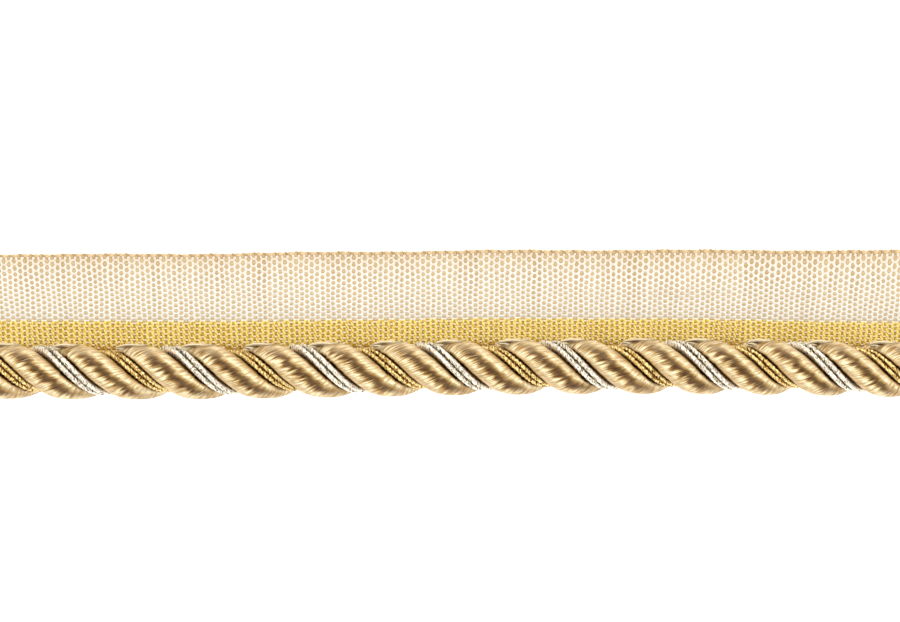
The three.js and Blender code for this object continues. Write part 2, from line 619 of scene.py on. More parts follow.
@dataclass(frozen=True)
class SatinFinish:
    """Old gold floss combed across a strand, with a painted dark sheen band along its crest
    between painted highlights.
    """

    # Painted sheen across the strand: painted highlights near 0.35 and 0.69, and a painted dark
    # band at the crest near 0.54.
    tones: tuple[tuple[float, Tone], ...] = (
        (0.180, tone(206, 172, 116)),
        (0.295, tone(236, 212, 164)),
        (0.345, tone(255, 246, 206)),
        (0.390, tone(255, 244, 202)),
        (0.435, tone(226, 198, 140)),
        (0.485, tone(150, 118, 62)),
        (0.540, tone(104, 78, 36)),
        (0.595, tone(128, 98, 50)),
        (0.640, tone(206, 176, 118)),
        (0.690, tone(255, 246, 206)),
        (0.750, tone(246, 226, 180)),
        (0.830, tone(206, 172, 116)),
    )
    girth: float = 16.9
    crest: Span = (0.30, 0.12)
    streaks_mean: float = 1.5
    feather: float = 0.17
    least_feather: float = 0.25
    # Painted light: the floss is mixed towards this pale tone near the rope's upper and lower
    # outlines.
    rim: Tone = tone(240, 219, 174)
    painted_limb_lights: tuple[tuple[float, float, float], ...] = ((0.48, 0.95, 0.8), (-0.66, -0.96, 0.85))
    # Painted shade where the thin threads press in: a brown edge and then near black, by each
    # point's distance from the nearest thread, made ragged by the streaks.
    fray: float = 0.45
    fringe_shade: Tone = tone(176, 128, 62)
    fringe_shade_span: Span = (0.62, 0.20)
    crevice_shade: Tone = tone(24, 13, 4)
    crevice_shade_span: Span = (0.32, 0.16)
    fine: Tone = tone(198, 170, 124)
    fine_span: Span = (0.42, 0.62)
    least_fine: float = 0.5
    streak: Tone = tone(206, 180, 138)
    streak_span: Span = (0.42, 0.68)
    streak_share: float = 0.6
    roughness: float = 0.42
    anisotropy: float = 0.8
    metallic: float = 0.3
    relief: float = 0.13

    def material(self) -> Material:
        """Builds the satin.

        Returns:
            The material.
        """
        material, nodes, shader = new_material("Satin floss")
        run = nodes.run_vector()
        combed = nodes.add("ShaderNodeGroup", {"node_tree": filament_group()}, Run=run)
        fine, broad, tuft = (combed.outputs[name] for name in ("Fine", "Broad", "Tuft"))
        arc = nodes.add("ShaderNodeSeparateXYZ", i0=run).outputs[1]
        across = nodes.maths("MULTIPLY", arc, 1 / self.girth)
        wander = nodes.maths("ADD", nodes.maths("ADD", tuft, broad), fine)
        wander = nodes.maths("SUBTRACT", wander, self.streaks_mean)
        off = nodes.maths("ABSOLUTE", nodes.maths("SUBTRACT", across, 0.5))
        crest = nodes.spread(off, *self.crest)
        near = nodes.at_least(crest, self.least_feather)
        shift = nodes.maths("MULTIPLY", nodes.maths("MULTIPLY", wander, near), self.feather)
        # The ramp paints the sheen, its edges feathered by the streaks.
        colour = nodes.ramp(nodes.maths("ADD", across, shift), self.tones)
        # Painted light towards the rope's outlines, by each point's sideways place.
        side = nodes.attribute("side")
        for low, high, share in self.painted_limb_lights:
            rim = nodes.maths("MULTIPLY", nodes.spread(side, low, high), share)
            colour = nodes.mix(rim, colour, self.rim)
        # Painted shade beside the thin threads.
        thread_distance = nodes.maths("MULTIPLY", wander, self.fray)
        thread_distance = nodes.maths("ADD", nodes.attribute("gap"), thread_distance)
        colour = nodes.mix(nodes.spread(thread_distance, *self.fringe_shade_span), colour, self.fringe_shade)
        colour = nodes.mix(nodes.spread(thread_distance, *self.crevice_shade_span), colour, self.crevice_shade)
        weight = nodes.at_least(crest, self.least_fine)
        lines = nodes.maths("MULTIPLY", nodes.spread(fine, *self.fine_span), weight)
        colour = nodes.mix(lines, colour, self.fine, "MULTIPLY")
        streak = nodes.spread(tuft, *self.streak_span)
        streak = nodes.maths("MULTIPLY", streak, self.streak_share)
        colour = nodes.mix(streak, colour, self.streak, "MULTIPLY")
        nodes.tree.links.new(colour, shader.inputs["Base Color"])
        set_inputs(
            shader,
            Roughness=self.roughness,
            Anisotropic=self.anisotropy,
            Metallic=self.metallic,
        )
        tangent = nodes.add("ShaderNodeTangent", {"direction_type": "UV_MAP", "uv_map": UV_RUN})
        nodes.tree.links.new(tangent.outputs[0], shader.inputs["Tangent"])
        height = nodes.maths("MULTIPLY", nodes.maths("ADD", fine, tuft), weight)
        set_bump(nodes, shader, height, self.relief)
        return material


@dataclass(frozen=True)
class FoilFinish:
    """Bright metallic thread with painted glints, and dark specks of painted shade and
    reflection between its turns.
    """

    name: str
    painted_glint: Tone
    middle: Tone
    dark: Tone
    metallic: float = 0.75
    roughness: float = 0.33
    grain: tuple[float, float, float] = (3.0, 1.8, 1.0)
    grain_detail: float = 3.0
    specks: float = 0.42
    dark_step: float = 0.09
    painted_glint_step: float = 0.12
    parting_shade: float = 0.10
    relief: float = 0.12

    def material(self) -> Material:
        """Builds the foil.

        Returns:
            The material.
        """
        material, nodes, shader = new_material(self.name)
        grain = nodes.stretched(nodes.run_vector(), self.grain)
        grain = nodes.noise(grain, 1.0, self.grain_detail)
        # Painted shade on the side of each thread that faces its partner.
        parted = nodes.maths("MULTIPLY", nodes.attribute("near"), self.parting_shade)
        lit = nodes.maths("SUBTRACT", grain, parted)
        # The grain paints glints, the foil's own tone, and dark specks of painted shade and
        # reflection.
        stops = (
            (self.specks - self.dark_step, self.dark),
            (self.specks, self.middle),
            (self.specks + self.painted_glint_step, self.painted_glint),
        )
        nodes.tree.links.new(nodes.ramp(lit, stops), shader.inputs["Base Color"])
        set_inputs(shader, Metallic=self.metallic, Roughness=self.roughness)
        set_bump(nodes, shader, grain, self.relief)
        return material


@dataclass(frozen=True)
class YarnFinish:
    """Spun yarn, mixed between two tones by each point's shade number: a tone of its own in each
    row and, in some pieces, painted light and shade.
    """

    name: str
    light: Tone
    deep: Tone
    roughness: float = 0.85
    along: float = 2.4
    across: float = 1.4
    relief: float = 0.05
    specular: float = 0.25
    ply_share: float = 0.55
    shades: Span = (-0.6, 1.1)

    def material(self) -> Material:
        """Builds the yarn.

        Returns:
            The material.
        """
        material, nodes, shader = new_material(self.name)
        spun = nodes.add(
            "ShaderNodeGroup",
            {"node_tree": yarn_group()},
            Run=nodes.run_vector(),
            Along=self.along,
            Round=self.across,
        ).outputs[0]
        plies = nodes.maths("MULTIPLY", spun, self.ply_share)
        shade = nodes.maths("ADD", plies, nodes.attribute("shade"))
        colour = nodes.mix(nodes.spread(shade, *self.shades), self.deep, self.light)
        nodes.tree.links.new(self.cast(nodes, colour), shader.inputs["Base Color"])
        set_inputs(shader, Roughness=self.roughness, Specular_IOR_Level=self.specular)
        set_bump(nodes, shader, spun, self.relief)
        return material

    def cast(self, nodes: Nodes, colour: object) -> object:
        """Leaves the colour as it is."""
        return colour


@dataclass(frozen=True)
class BandedFinish(YarnFinish):
    """Yarn of the tape, mixed towards a second tone by a mask: painted shade and painted
    reflection of the gold where the binding yarn covers it, and the outer warps' own cream.
    """

    # Painted shade tinted by the gold binding.
    band_shade_and_cream: Tone = tone(208, 176, 80)

    def cast(self, nodes: Nodes, colour: object) -> object:
        """Mixes in the second tone."""
        return nodes.mix(nodes.attribute("band_shade_and_cream"), colour, self.band_shade_and_cream)


@dataclass(frozen=True)
class CutFinish:
    """The cut end of a strand, a mass of fibre ends."""

    name: str
    light: Tone
    deep: Tone
    fibres: float = 5200.0
    fibre_span: Span = (0.1, 0.6)
    roughness: float = 0.9
    relief: float = 0.12

    def material(self) -> Material:
        """Builds the cut end.

        Returns:
            The material.
        """
        material, nodes, shader = new_material(self.name)
        place = nodes.add("ShaderNodeTexCoord").outputs["Object"]
        cells = nodes.add("ShaderNodeTexVoronoi", Vector=place, Scale=self.fibres)
        spots = nodes.spread(cells.outputs["Distance"], *self.fibre_span)
        colour = nodes.mix(spots, self.light, self.deep)
        nodes.tree.links.new(colour, shader.inputs["Base Color"])
        set_inputs(shader, Roughness=self.roughness)
        set_bump(nodes, shader, nodes.maths("SUBTRACT", 1.0, spots), self.relief)
        return material


# Rope


@dataclass(frozen=True)
class MetalPair:
    """Two thin metallic threads side by side in a groove of the rope."""

    kind: str
    slot: Slot
    diameter: float
    crest: float
    facing: float
    plies: int
    ply_length: float
    ply_depth: float
    rings: int = 1700
    sides: int = 14
    slim: float = 0.08
    bulge: float = 0.3
    lobe_fullness: float = 0.8
    turn_length: float = 0.34
    turn_depth: float = 0.05

    def oval(self, lay: Lay, room: float) -> tuple[float, float, float, float]:
        """Gives a thread's oval cut, square to the rope's axis.

        Args:
            lay: how the trimming lies.
            room: what is added to the thread's radius.

        Returns:
            The centre's distance from the axis, the two half sizes, and the pitch.
        """
        centre = self.crest - self.diameter / 2
        slant = math.cos(math.atan(TAU * centre / lay.lead))
        half = self.diameter / 2 + room
        return centre, half, half / slant, self.diameter / slant

    def angle(self, lay: Lay, side: int) -> float:
        """Angle of one thread of the pair from the silver pair's middle."""
        centre, _, _, pitch = self.oval(lay, 0)
        return self.facing + side * pitch * (1 - self.slim) / 2 / centre

    def build(self, lay: Lay, finish: Material) -> None:
        """Builds both threads.

        Args:
            lay: how the trimming lies.
            finish: their material.
        """
        for letter, side in (("a", -1), ("b", 1)):
            tube = straight_tube(self.rings, self.sides)
            piece = placed(f"{self.kind}_thread_{letter}", tube, self.placing(lay, side))
            dress(piece, self.slot, [f"{self.kind}_{letter}"], finish, finish)

    def placing(self, lay: Lay, side: int) -> Place:
        """Gives the function that lays one thread in its groove.

        Args:
            lay: how the trimming lies.
            side: which of the two threads.

        Returns:
            The function, which also gives each point's nearness to the other thread.
        """
        centre, radial, around, _ = self.oval(lay, 0.0)
        around *= 1 - self.slim
        facing = self.angle(lay, side)
        stretch = math.hypot(1, TAU * centre / lay.lead)

        def place(_row: Array, ring: Array, turn: Array, share: Array) -> Placing:
            """Places the thread's points, its plies and the turns of its foil."""
            x = lay.along(ring / self.rings)
            angle = TAU * turn
            run = x * stretch
            swirl = self.plies * angle / 2 - math.pi * run * self.plies / self.ply_length
            lobe = np.abs(np.cos(swirl)) ** self.lobe_fullness
            turns = 0.5 + 0.5 * np.sin(TAU * (run / self.turn_length + turn))
            size = share * (1 - self.ply_depth * (1 - lobe) - self.turn_depth * turns)
            aside = np.maximum(np.sin(lay.twist(x) + facing), 0.0)
            swell = self.bulge / 2 * aside**2
            out = centre + swell + (radial + swell) * size * np.cos(angle)
            points = lay.on_rope(x, facing, out, around * size * np.sin(angle))
            # Nearness to the other thread, which the foil darkens as painted shade.
            near = (0.5 - 0.5 * side * np.sin(angle)) ** 3
            return points, run_of(run, turn, math.pi * self.diameter), {"near": near}

        return place


@dataclass(frozen=True)
class SatinStrand:
    """A thick strand of floss wound over a core, squashed against its neighbours."""

    name: str
    node: str
    facing: float
    half_width: float = 3.05
    half_depth: float = 2.36
    press_step: float = 0.01
    snug: float = 0.02
    comb: tuple[float, float, float] = (0.30, 0.84, 0.20)
    comb_top: float = math.radians(65)
    # Where the painted sheen band lies round the strand, and how far it slides with the sideways
    # place.
    sheen_shift: float = 0.0
    sheen_slide: float = 2.6
    rings: int = 740
    sides: int = 60
    cap_insets: int = 3
    sharp_from: float = math.radians(65)
    tufts: tuple[tuple[float, float, float], ...] = (
        (1.37, 0.012, 0.9),
        (0.83, 0.008, 1.7),
        (2.90, 0.022, 0.4),
    )
    tuft_wander: float = 0.8
    tuft_wander_lengths: float = 7.3
    tuft_sink: float = 0.05
    tuft_radius: float = 2.6

    def outline(self, lay: Lay, pairs: tuple[MetalPair, ...]) -> Array:
        """Gives the section's outline, drawn in where the thin threads press.

        Args:
            lay: how the trimming lies.
            pairs: the metallic pairs.

        Returns:
            One row for each side, from the inmost one: out and across from the
            strand's own middle.
        """
        middle = lay.rope_radius - self.half_depth
        rows = []
        for k in range(self.sides):
            angle = TAU * k / self.sides + math.pi
            out = self.half_depth * math.cos(angle)
            across = self.half_width * math.sin(angle)
            share = 1.0
            while self.gap(lay, pairs, middle + share * out, share * across) < 0:
                share -= self.press_step
            rows.append((share * out, share * across))
        return np.array(rows)

    def wound(self, angle: Array) -> Array:
        """Grows as the sine on the rope's top, and evenly round its sides and back.

        Args:
            angle: angles round the rope's axis from straight up.

        Returns:
            How far the floss is wound on at each of them.
        """
        turns = np.floor((angle + math.pi) / TAU)
        local = angle - TAU * turns
        top = np.clip(local, -self.comb_top, self.comb_top)
        slope = math.cos(self.comb_top)
        whole = 2 * (math.sin(self.comb_top) + slope * (math.pi - self.comb_top))
        return np.sin(top) + slope * (local - top) + whole * turns

    def gap(self, lay: Lay, pairs: tuple[MetalPair, ...], out: float, across: float) -> float:
        """Measures from a point of the section to the nearest thin thread.

        Args:
            lay: how the trimming lies.
            pairs: the metallic pairs.
            out: the point's distance from the axis, along the strand's direction.
            across: its distance square to that.

        Returns:
            The gap, below nought inside a thread.
        """
        radius = math.hypot(out, across)
        angle = math.atan2(across, out) + self.facing
        gaps = []
        for pair in pairs:
            centre, radial, around, _ = pair.oval(lay, self.snug)
            for side in (-1, 1):
                away = angle - pair.angle(lay, side)
                rise = radius * math.cos(away) - centre
                ratio = math.hypot(rise / radial, radius * math.sin(away) / around)
                gaps.append((ratio - 1) * radial)
        return min(gaps)

    def tufted(self, comb: Array) -> Array:
        """Gives the low relief of the tufts.

        Args:
            comb: places across the combed filaments.

        Returns:
            The share of the section's size that is left at each place.
        """
        relief = np.zeros_like(comb)
        for length, depth, phase in self.tufts:
            wander = np.sin(TAU * comb / (length * self.tuft_wander_lengths) + phase)
            wander = wander * self.tuft_wander
            relief += depth * np.sin(TAU * comb / length + phase + wander)
        return 1 - (relief + self.tuft_sink) / self.tuft_radius

    def build(
        self, lay: Lay, pairs: tuple[MetalPair, ...], finish: Material, end: Material
    ) -> None:
        """Builds the strand.

        Args:
            lay: how the trimming lies.
            pairs: the metallic pairs.
            finish: the floss.
            end: the cut end.
        """
        outline = self.outline(lay, pairs)
        middle = lay.rope_radius - self.half_depth
        steps = np.hypot(*(np.roll(outline, -1, axis=0) - outline).T)
        arcs = np.concatenate([[0.0], np.cumsum(steps)])
        gaps = np.array([self.gap(lay, pairs, middle + out, across) for out, across in outline])

        def place(_row: Array, ring: Array, turn: Array, share: Array) -> Placing:
            """Places the strand's points, its combing and its sheen."""
            x = lay.along(ring / self.rings)
            index = np.round(turn * self.sides).astype(int) % self.sides
            smooth = share[:, None] * outline[index]
            rest = lay.on_rope(x, self.facing, middle + smooth[:, 0], smooth[:, 1])
            side = (rest[:, 1] + lay.centre_y - lay.bow(x)) / lay.rope_radius
            along, beside, curving = self.comb
            angle = lay.twist(x) + self.facing
            angle = angle + np.arctan2(smooth[:, 1], middle + smooth[:, 0])
            around = beside * self.wound(angle) + curving * np.sin(angle) ** 2
            comb = along * x - lay.rope_radius * around
            rough = self.tufted(comb)[:, None] * smooth
            points = lay.on_rope(x, self.facing, middle + rough[:, 0], rough[:, 1])
            # The sheen coordinate places the painted sheen band, which slides with each point's
            # sideways place.
            sheen = arcs[index] - self.sheen_shift + self.sheen_slide * side
            run = np.stack([comb, sheen, np.zeros_like(x), np.full_like(x, arcs[-1])], axis=1)
            return points, run, {"side": side, "gap": gaps[index]}

        tube = straight_tube(self.rings, self.sides, self.cap_insets)
        piece = placed(self.name, tube, place)
        piece.data.set_sharp_from_angle(angle=self.sharp_from)
        dress(piece, Slot.SATIN, [self.node], finish, end)


@dataclass(frozen=True)
class StrayFilaments:
    """A few loose filaments that stand off the satin strands."""

    count: int = 46
    thickness: float = 0.028
    thin_end: float = 0.3
    from_cut: float = 4.0
    starts: Span = (-1.0, 0.3)
    sweeps: Span = (0.9, 1.9)
    lifts: Span = (0.04, 0.28)
    slant: float = 0.7
    down_by: float = 1.25
    clear: float = 0.01
    shade: float = 0.5
    rings: int = 12
    sides: int = 4
    seed: int = 11

    def build(self, lay: Lay, strands: tuple[SatinStrand, ...], finish: Material) -> None:
        """Builds all the loose filaments as one piece.

        Args:
            lay: how the trimming lies.
            strands: the satin strands that they stand off.
            finish: their material.
        """
        draw = random.Random(self.seed)
        half = lay.length / 2 - self.from_cut
        start = draws(draw, (-half, half), self.count)
        from_angle = draws(draw, self.starts, self.count)
        sweep = draws(draw, self.sweeps, self.count)
        lift = draws(draw, self.lifts, self.count)
        facings = np.array([strands[k % 2].facing for k in range(self.count)])
        strand = strands[0]
        middle = lay.rope_radius - strand.half_depth

        def place(row: Array, ring: Array, turn: Array, share: Array) -> Placing:
            """Places each filament in a low arch over its strand."""
            k = row.astype(int)
            t = ring / self.rings
            angle = from_angle[k] + sweep[k] * t
            arc = (strand.half_width + strand.half_depth) / 2 * sweep[k] * t
            x = start[k] + self.slant * arc
            high = lift[k] * np.sin(math.pi * np.minimum(t * self.down_by, 1.0)) + self.clear
            grow = 1 + high / strand.half_depth
            tube = TAU * turn
            wide = self.thickness / 2 * share * (self.thin_end + np.sin(math.pi * t))
            out = middle + grow * strand.half_depth * np.cos(angle) + wide * np.cos(tube)
            across = grow * strand.half_width * np.sin(angle)
            x = x + wide * np.sin(tube)
            points = np.empty((len(x), 3))
            for facing in set(facings):
                mine = facings[k] == facing
                points[mine] = lay.on_rope(x[mine], facing, out[mine], across[mine])
            return points, run_of(arc, turn), {"shade": np.full_like(x, self.shade)}

        tubes = in_rows(straight_tube(self.rings, self.sides), self.count)
        dress(placed("stray_filaments", tubes, place), Slot.SATIN, [], finish, finish)


@dataclass(frozen=True)
class Roll:
    """One soft roll of floss, placed from the metallic pair that it starts beside.

    Angles are round the axis in degrees. The ridge is how far the roll's far side
    comes out sideways from the axis, and the perch is how high its middle stands
    above the axis.
    """

    start: float
    sweep: float
    ridge: float
    climb: float
    perch: float
    rise: float
    half: float


@dataclass(frozen=True)
class Curls:
    """Soft rolls of floss where each satin strand comes up beside the tape.

    Room is the angle that a roll needs before the cut. A roll climbs fast, tapers to both ends,
    sinks into the strand past its middle and has painted shade underneath.
    """

    rolls: tuple[Roll, ...] = (
        Roll(25, 96, 4.20, 0.72, 1.0, 0.3, 0.33),
        Roll(26, 34, 4.12, 0.12, 1.5, 0.3, 0.20),
    )
    room: float = 125.0
    passes: int = 4
    start_stray: Span = (-2, 2)
    size_stray: Span = (0.8, 1.1)
    climb_power: int = 6
    lead_in: float = 0.8
    taper: float = 0.7
    tip: float = 0.01
    sinks: float = 0.55
    sinks_from: float = 0.6
    flat: float = 1.5
    under_level: float = 0.6
    under_slope: float = 1.6
    under_start: float = 2.6
    under_fade: float = 4.0
    shade: float = 0.7
    shade_fall: float = 0.5
    shade_under: float = 1.1
    rings: int = 24
    sides: int = 12
    seed: int = 8

    def beside(self, lay: Lay, pairs: tuple[MetalPair, ...]) -> list[float]:
        """Finds where each metallic pair goes over the side next to the tape.

        Args:
            lay: how the trimming lies.
            pairs: the metallic pairs.

        Returns:
            Places along the cord that leave room for a roll before the cut.
        """
        found = []
        for pair in pairs:
            for lead in range(-lay.leads, lay.leads):
                x = 0.0
                for _ in range(self.passes):
                    missed = lay.twist(x) + pair.facing - math.pi / 2 + TAU * lead
                    x = x + missed * lay.lead / TAU
                longest = x + lay.lead * self.room / 360
                if -lay.length / 2 < x and longest < lay.length / 2:
                    found.append(x)
        return sorted(found)

    def build(self, lay: Lay, pairs: tuple[MetalPair, ...], finish: Material) -> None:
        """Builds all the rolls as one piece.

        Args:
            lay: how the trimming lies.
            pairs: the metallic pairs that they start beside.
            finish: their material.
        """
        draw = random.Random(self.seed)
        rows = []
        for x in self.beside(lay, pairs):
            for roll in self.rolls:
                start = x + lay.lead * (roll.start + draw.uniform(*self.start_stray)) / 360
                long = lay.lead * roll.sweep * draw.uniform(*self.size_stray) / 360
                half = roll.half * draw.uniform(*self.size_stray)
                rows.append((start, long, roll.ridge, roll.climb, roll.perch, roll.rise, half))
        table = np.array(rows).T

        def place(row: Array, ring: Array, turn: Array, share: Array) -> Placing:
            """Places each roll's points and paints shade on its underside."""
            start, long, ridge, climb, perch, rise, half = table[:, row.astype(int)]
            t = ring / self.rings
            tube = TAU * turn
            x = start + long * t
            size = half * np.sin(math.pi * t**self.lead_in) ** self.taper + self.tip
            sinking = self.sinks * np.clip(t - self.sinks_from, 0, 1)
            climbed = ridge + climb * (1 - (1 - t) ** self.climb_power)
            out = climbed - size * (1 - share * np.cos(tube)) - sinking
            across = self.flat * size * share * np.sin(tube) - perch - rise * t
            # Painted shade on the roll's underside, fading along it.
            under = np.clip(self.under_level - self.under_slope * np.cos(tube), 0, 1)
            under = under * np.clip(self.under_start - self.under_fade * t, 0, 1)
            shade = self.shade - self.shade_fall * t - self.shade_under * under
            points = lay.on_rope(x, math.pi / 2 - lay.twist(x), out, across)
            return points, run_of(long * t, turn), {"shade": shade}

        tubes = in_rows(straight_tube(self.rings, self.sides), len(rows))
        dress(placed("floss_curls", tubes, place), Slot.SATIN, [], finish, finish)


# Flange


@dataclass(frozen=True)
class Weave:
    """Where the tape's yarns cross: columns of weft and lines of warp."""

    column: float = 0.912
    columns: int = 190
    column_shift: float = 0.345
    lean_level_at: float = -8.0
    lean: float = 0.00095
    lean_about: float = 13.0
    warp_first: float = 3.52
    warp_pitch: float = 0.445
    warps: int = 33
    opens_from: float = 24.0
    opening: float = 0.0095
    sag: float = 0.30
    sag_half: float = 70.0
    inner: float = 3.55
    outer: float = 20.1
    middle: float = 0.40

    def column_x(self, number: Array, reach: Array) -> Array:
        """Place of a column at a reach."""
        x = (number - (self.columns - 1) / 2) * self.column + self.column_shift
        return x + self.slope(x) * (reach - self.lean_about)

    def slope(self, x: Array) -> Array:
        """How much a column leans along the cord for each millimetre of reach."""
        return self.lean * (x - self.lean_level_at)

    def column_at(self, x: Array, reach: Array) -> Array:
        """Column number, with its fraction, at a place."""
        upright = x - self.slope(x) * (reach - self.lean_about) - self.column_shift
        return upright / self.column + (self.columns - 1) / 2

    def opened(self, number: Array) -> Array:
        """Half of how much further apart the warps are at a number than near the rope."""
        return self.opening * np.maximum(number - self.opens_from, 0.0)

    def line_reach(self, number: Array) -> Array:
        """Reach of a warp: evenly spaced near the rope, more open towards the edge."""
        past = np.maximum(number - self.opens_from, 0.0)
        return self.warp_first + self.warp_pitch * number + self.opening * past**2

    def line_at(self, reach: Array) -> Array:
        """Finds the warp at a reach.

        Args:
            reach: distances from the rope's axis.

        Returns:
            Warp numbers, with their fractions.
        """
        even = (reach - self.warp_first) / self.warp_pitch
        past = np.maximum(even - self.opens_from, 0.0)
        root = np.sqrt(1 + 4 * self.opening * past / self.warp_pitch)
        return np.minimum(even, self.opens_from) + 2 * past / (1 + root)

    def sagged(self, x: Array, reach: Array) -> Array:
        """Draws a reach in towards the rope, most halfway across and at the ends."""
        outward = np.clip((reach - self.inner) / (self.outer - self.inner), 0, 1)
        return reach - self.sag * (x / self.sag_half) ** 2 * np.sin(math.pi * outward**2)


@dataclass(frozen=True)
class Hairpin:
    """A yarn's way out along one leg, round a turn and back along the other leg."""

    inner: float
    turn_reach: float
    turn_length: float
    turn_out: float

    def follow(self, share: Array) -> tuple[Array, Array, Array, Array]:
        """Follows the hairpin.

        Args:
            share: shares of its whole length.

        Returns:
            The length so far, the angle that is turned through, whether it is on the
            way back, and the reach.
        """
        leg = self.turn_reach - self.inner
        along = share * (2 * leg + self.turn_length)
        bend = np.clip((along - leg) / self.turn_length, 0, 1) * math.pi
        back = along > leg + self.turn_length / 2
        homeward = self.inner + 2 * leg + self.turn_length - along
        reach = np.minimum(np.where(back, homeward, self.inner + along), self.turn_reach)
        return along, bend, back, reach + self.turn_out * np.sin(bend)


def rounded(wave: Array, fullness: float) -> Array:
    """Flattens the tops of a wave between -1 and 1."""
    return np.tanh(fullness * wave) / math.tanh(fullness)


@dataclass(frozen=True)
class Tape:
    """The woven tape: a thin ground, white warps and beige wefts."""

    weave: Weave = field(default_factory=Weave)
    band_reach: float = 8.5
    band_spread: float = 0.3
    band_rise: float = 0.13
    band_warps: int = 17
    level_at: float = 17.0
    ground_reach: float = 19.2
    ground_inset: float = 0.1
    ground_length: float = 0.999
    ground_thick: float = 0.07
    ground_edge: float = 0.6
    ground_shade: float = 0.4
    ground_rings: int = 160
    ground_sides: int = 40
    warp_half: float = 0.135
    warp_thick: float = 0.11
    warp_swing: float = 0.20
    warp_fullness: float = 1.3
    warp_margin: float = 1.0
    warp_stray: Span = (-0.03, 0.03)
    warp_tones: Span = (-0.25, 0.25)
    warp_painted_light: float = 0.82
    warp_steps: int = 3
    warp_sides: int = 5
    warp_seed: int = 5
    creamy_from: float = 16.4
    creamy_over: float = 3.0
    creamy_most: float = 0.75
    weft_half: float = 0.295
    weft_thick: float = 0.19
    weft_swing: float = 0.15
    weft_fullness: float = 1.2
    weft_margin: float = 0.5
    weft_stray: Span = (-0.04, 0.04)
    weft_tones: Span = (-0.2, 0.4)
    weft_painted_light: float = 0.7
    weft_inset: float = 0.12
    weft_pinch: float = 0.05
    weft_rings: int = 214
    weft_sides: int = 6
    weft_seed: int = 105
    turn_reach: float = 19.35
    turn_out: float = 0.55
    turn_slim: float = 0.25

    def nearness(self, reach: Array) -> Array:
        """How near the rope a yarn is: one at the binding, below nought at the edge."""
        return (self.level_at - reach) / (self.level_at - self.band_reach)

    def covered(self, number: Array, margin: float) -> Array:
        """Gives one where a warp number lies under the binding by a margin, or nought."""
        band_line = self.weave.line_at(np.array(self.band_reach))
        return 1.0 * (number < band_line - margin)

    def build_ground(self, lay: Lay, finish: Material) -> Object:
        """Builds the thin filling that closes the weave's gaps.

        Args:
            lay: how the trimming lies.
            finish: its material.

        Returns:
            The object.
        """
        inner = lay.inner_reach + self.ground_inset
        middle = (self.ground_reach + inner) / 2
        half = (self.ground_reach - inner) / 2

        def place(_row: Array, ring: Array, turn: Array, share: Array) -> Placing:
            """Places the filling's points, flat with soft edges."""
            x = lay.along(ring / self.ground_rings) * self.ground_length
            angle = TAU * turn
            wide = np.sign(np.cos(angle)) * np.abs(np.cos(angle)) ** self.ground_edge
            reach = middle + half * share * wide
            height = self.weave.middle + self.ground_thick * share * np.sin(angle)
            # Painted shade on the filling under the binding.
            band_shade_and_cream = 1.0 * (reach < self.band_reach)
            numbers = {"shade": np.full_like(x, self.ground_shade), "band_shade_and_cream": band_shade_and_cream}
            return lay.on_tape(x, reach, height), run_of(x, turn), numbers

        piece = placed("tape_ground", straight_tube(self.ground_rings, self.ground_sides), place)
        return dress(piece, Slot.TAPE, ["tape"], finish, finish)

    def build_warps(
        self, lay: Lay, name: str, first: int, count: int, finish: Material
    ) -> Object:
        """Builds a group of warps.

        Args:
            lay: how the trimming lies.
            name: the piece's name.
            first: number of the first warp.
            count: how many.
            finish: their material.

        Returns:
            The object.
        """
        weave = self.weave
        rings = weave.columns * self.warp_steps
        draw = random.Random(self.warp_seed + first)
        stray = draws(draw, self.warp_stray, count)
        tones = draws(draw, self.warp_tones, count)

        def place(row: Array, ring: Array, turn: Array, share: Array) -> Placing:
            """Places each warp over and under the columns in turn."""
            k = row.astype(int)
            x = lay.along(ring / rings)
            number = k + first
            level = weave.line_reach(number)
            column = weave.column_at(x, level)
            over = rounded(np.cos(math.pi * (column + number)), self.warp_fullness)
            angle = TAU * turn
            inside = self.covered(number, self.warp_margin)
            wide = self.warp_half * (1 + self.band_spread * inside) + weave.opened(number)
            reach = weave.sagged(x, level + stray[k]) + wide * share * np.cos(angle)
            height = weave.middle + self.warp_swing * over + self.band_rise * inside
            height = height + self.warp_thick * share * np.sin(angle)
            creamy = np.clip((level - self.creamy_from) / self.creamy_over, 0, 1)
            # The warps' own cream towards the free edge, and painted reflection of the gold
            # under the binding.
            band_shade_and_cream = np.maximum(self.creamy_most * creamy, inside)
            # Painted light: warps lighter near the rope, where its shadow falls, and darker
            # towards the free edge.
            shade = tones[k] + self.warp_painted_light * self.nearness(level)
            numbers = {"shade": shade, "band_shade_and_cream": band_shade_and_cream}
            return lay.on_tape(x, reach, height), run_of(x, turn), numbers

        piece = placed(name, in_rows(straight_tube(rings, self.warp_sides), count), place)
        return dress(piece, Slot.TAPE, ["tape"], finish, finish)

    def build_wefts(
        self, lay: Lay, name: str, first: int, count: int, finish: Material
    ) -> Object:
        """Builds a group of wefts, each of two columns joined by a turn at the free edge.

        Args:
            lay: how the trimming lies.
            name: the piece's name.
            first: number of the first pair.
            count: how many pairs.
            finish: their material.

        Returns:
            The object.
        """
        weave = self.weave
        inner = lay.inner_reach + self.weft_inset
        turn_length = math.pi * weave.column / 2
        turn_out = self.turn_out * weave.column
        hairpin = Hairpin(inner, self.turn_reach, turn_length, turn_out)
        draw = random.Random(self.weft_seed + first)
        tones = draws(draw, self.weft_tones, count)
        stray = draws(draw, self.weft_stray, count)

